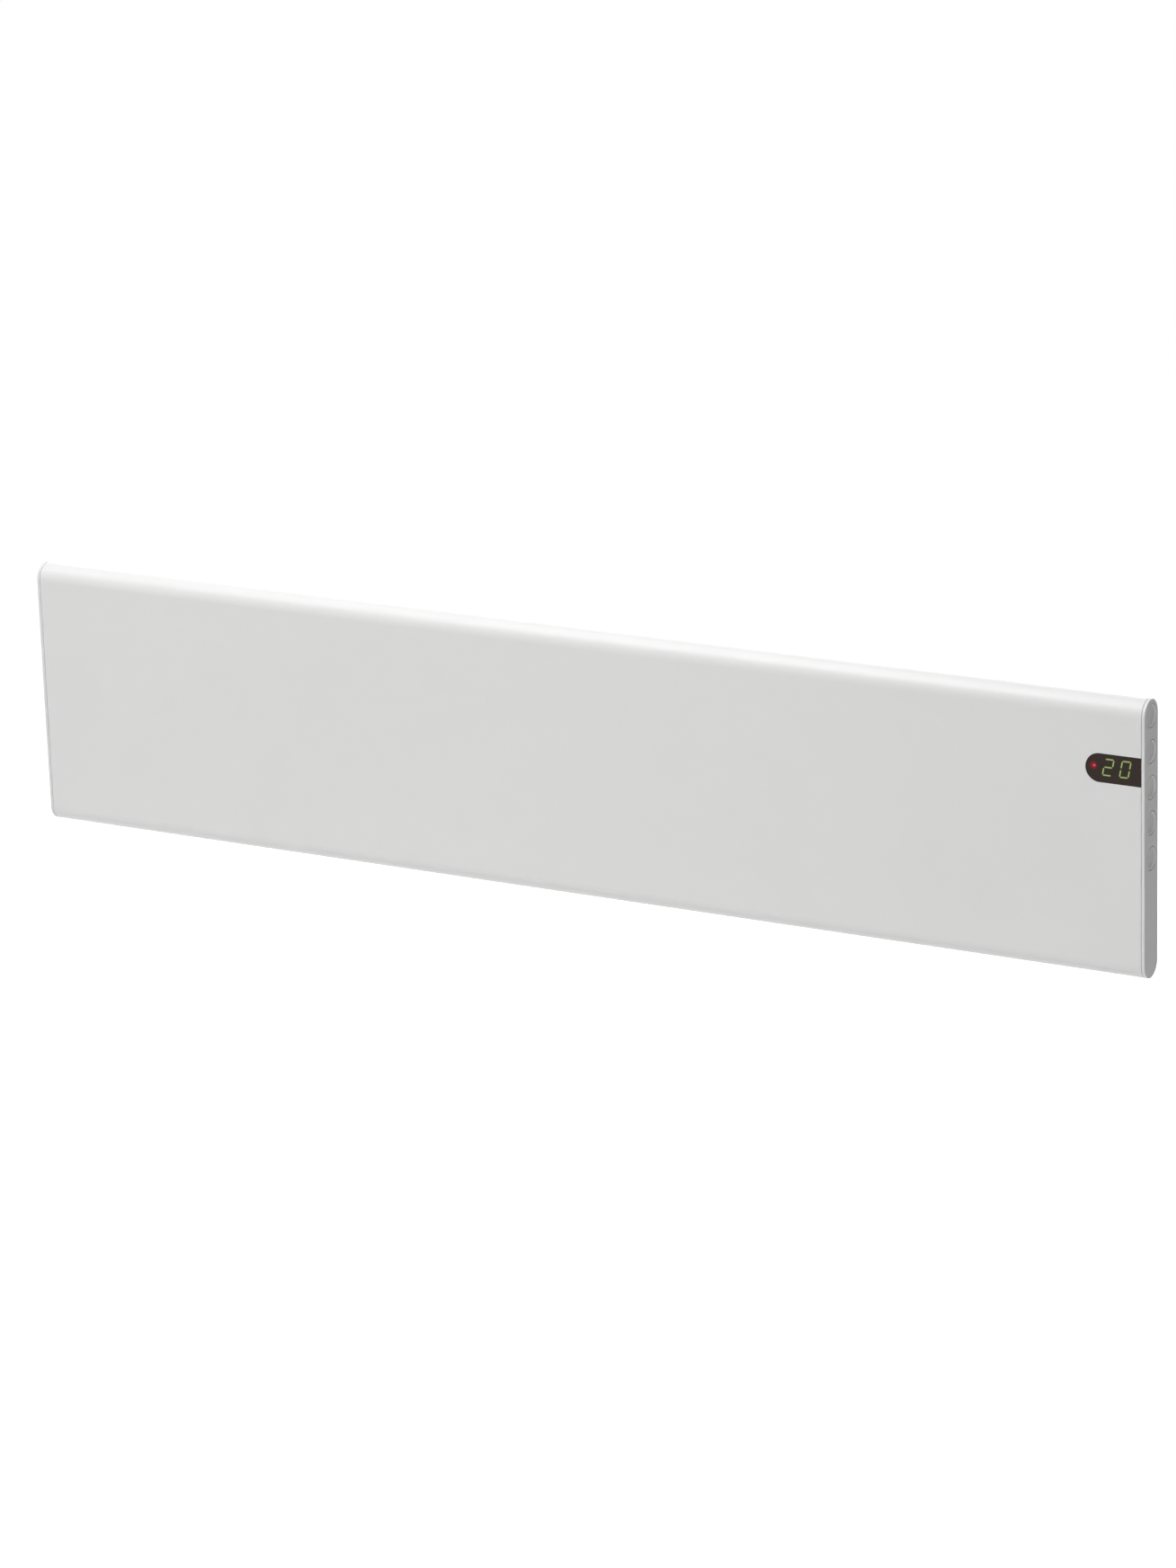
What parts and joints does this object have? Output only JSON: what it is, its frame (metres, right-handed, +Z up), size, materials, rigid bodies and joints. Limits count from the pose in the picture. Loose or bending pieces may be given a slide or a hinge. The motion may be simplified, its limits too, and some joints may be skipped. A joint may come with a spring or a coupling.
{
  "type": "wall panel convector heater",
  "caption": "Low slim wall panel convector heater: round-edged steel front, dark display window, dished keys in the end cap, rear air duct and hook-on wall bracket.",
  "frame": {"origin": "centre of the four wall-screw holes, on the wall plane behind the bracket", "axes": "+X to the right along the front, +Y into the wall, +Z up"},
  "size_m": [0.89, 0.084, 0.2],
  "materials": {
    "casing_paint": "fine satin white powder coat",
    "cap_plastic": "fine spark texture",
    "key_plastic": "smooth matte",
    "smoked_window": "gloss, very dark smoked",
    "rear_paint": "satin white powder coat",
    "grille_paint": "satin white powder coat",
    "zinc_steel": "bright zinc-coated sheet",
    "aluminium_extrusion": "plain mill finish",
    "heater_sheath": "heat-tinted steel sheath",
    "ceramic": "unglazed white ceramic",
    "board_green": "green solder mask",
    "black_plastic": "moulded black",
    "relay_blue": "gloss moulded",
    "transformer_yellow": "taped winding",
    "capacitor_sleeve": "shrink sleeve",
    "natural_plastic": "moulded natural",
    "pilot_red": "clear red",
    "screw_steel": "bright zinc",
    "black_rubber": "matte",
    "wire_sleeve": "silicone sleeve",
    "latch_plastic": "moulded, satin"
  },
  "bodies": {
    "heater": {"front_casing": "casing_paint", "display_window": "smoked_window", "right_end_cap": "cap_plastic", "left_end_cap": "cap_plastic", "key_switches": "black_plastic", "control_board": "board_green", "board_carrier": "natural_plastic", "board_screws": "screw_steel", "board_terminals": "board_green", "power_relay": "relay_blue", "power_transformer": "transformer_yellow", "board_capacitors": "capacitor_sleeve", "digit_module": "black_plastic", "indicator_light": "pilot_red", "rear_plate": "rear_paint", "convection_housing": "rear_paint", "wire_grommets": "black_rubber", "outlet_grille": "grille_paint", "heat_shield": "zinc_steel", "shield_spacers": "ceramic", "heating_element": "aluminium_extrusion", "heater_rod": "heater_sheath", "rod_bushes": "ceramic", "element_holder_left": "zinc_steel", "element_holder_right": "zinc_steel", "partition_plate": "zinc_steel", "cutout_bracket": "zinc_steel", "overheat_cutout": "screw_steel", "terminal_block": "natural_plastic", "cable_grommet": "black_rubber", "cable_clamp": "natural_plastic", "room_sensor": "natural_plastic", "element_lead_left": "wire_sleeve", "element_lead_right": "wire_sleeve", "supply_leads": "wire_sleeve", "sensor_lead": "wire_sleeve", "wire_clips": "natural_plastic", "end_cap_screws": "screw_steel", "rear_plate_screws": "screw_steel", "housing_screws": "screw_steel", "wall_bracket": "zinc_steel", "bracket_buffers": "black_rubber"},
    "key_1": {"control_key_1": "key_plastic"},
    "key_2": {"control_key_2": "key_plastic"},
    "key_3": {"control_key_3": "key_plastic"},
    "key_4": {"control_key_4": "key_plastic"},
    "key_5": {"control_key_5": "key_plastic"},
    "latch_left": {"latch_knob_left": "latch_plastic", "latch_tongue_left": "zinc_steel"},
    "latch_right": {"latch_knob_right": "latch_plastic", "latch_tongue_right": "zinc_steel"}
  },
  "joints": [
    {"name": "key_1_press", "type": "slide", "parent": "heater", "child": "key_1", "axis": [-1, 0, 0], "range_m": [0, 0.0008], "stiffness_N_per_m": 1200},
    {"name": "key_2_press", "type": "slide", "parent": "heater", "child": "key_2", "axis": [-1, 0, 0], "range_m": [0, 0.0008], "stiffness_N_per_m": 1200},
    {"name": "key_3_press", "type": "slide", "parent": "heater", "child": "key_3", "axis": [-1, 0, 0], "range_m": [0, 0.0008], "stiffness_N_per_m": 1200},
    {"name": "key_4_press", "type": "slide", "parent": "heater", "child": "key_4", "axis": [-1, 0, 0], "range_m": [0, 0.0008], "stiffness_N_per_m": 1200},
    {"name": "key_5_press", "type": "slide", "parent": "heater", "child": "key_5", "axis": [-1, 0, 0], "range_m": [0, 0.0008], "stiffness_N_per_m": 1200},
    {"name": "latch_left_turn", "type": "hinge", "parent": "heater", "child": "latch_left", "pos_m": [-0.225, -0.011, 0.058], "axis": [0, 0, -1], "range_deg": [0, 90]},
    {"name": "latch_right_turn", "type": "hinge", "parent": "heater", "child": "latch_right", "pos_m": [0.225, -0.011, 0.058], "axis": [0, 0, 1], "range_deg": [0, 90]}
  ]
}
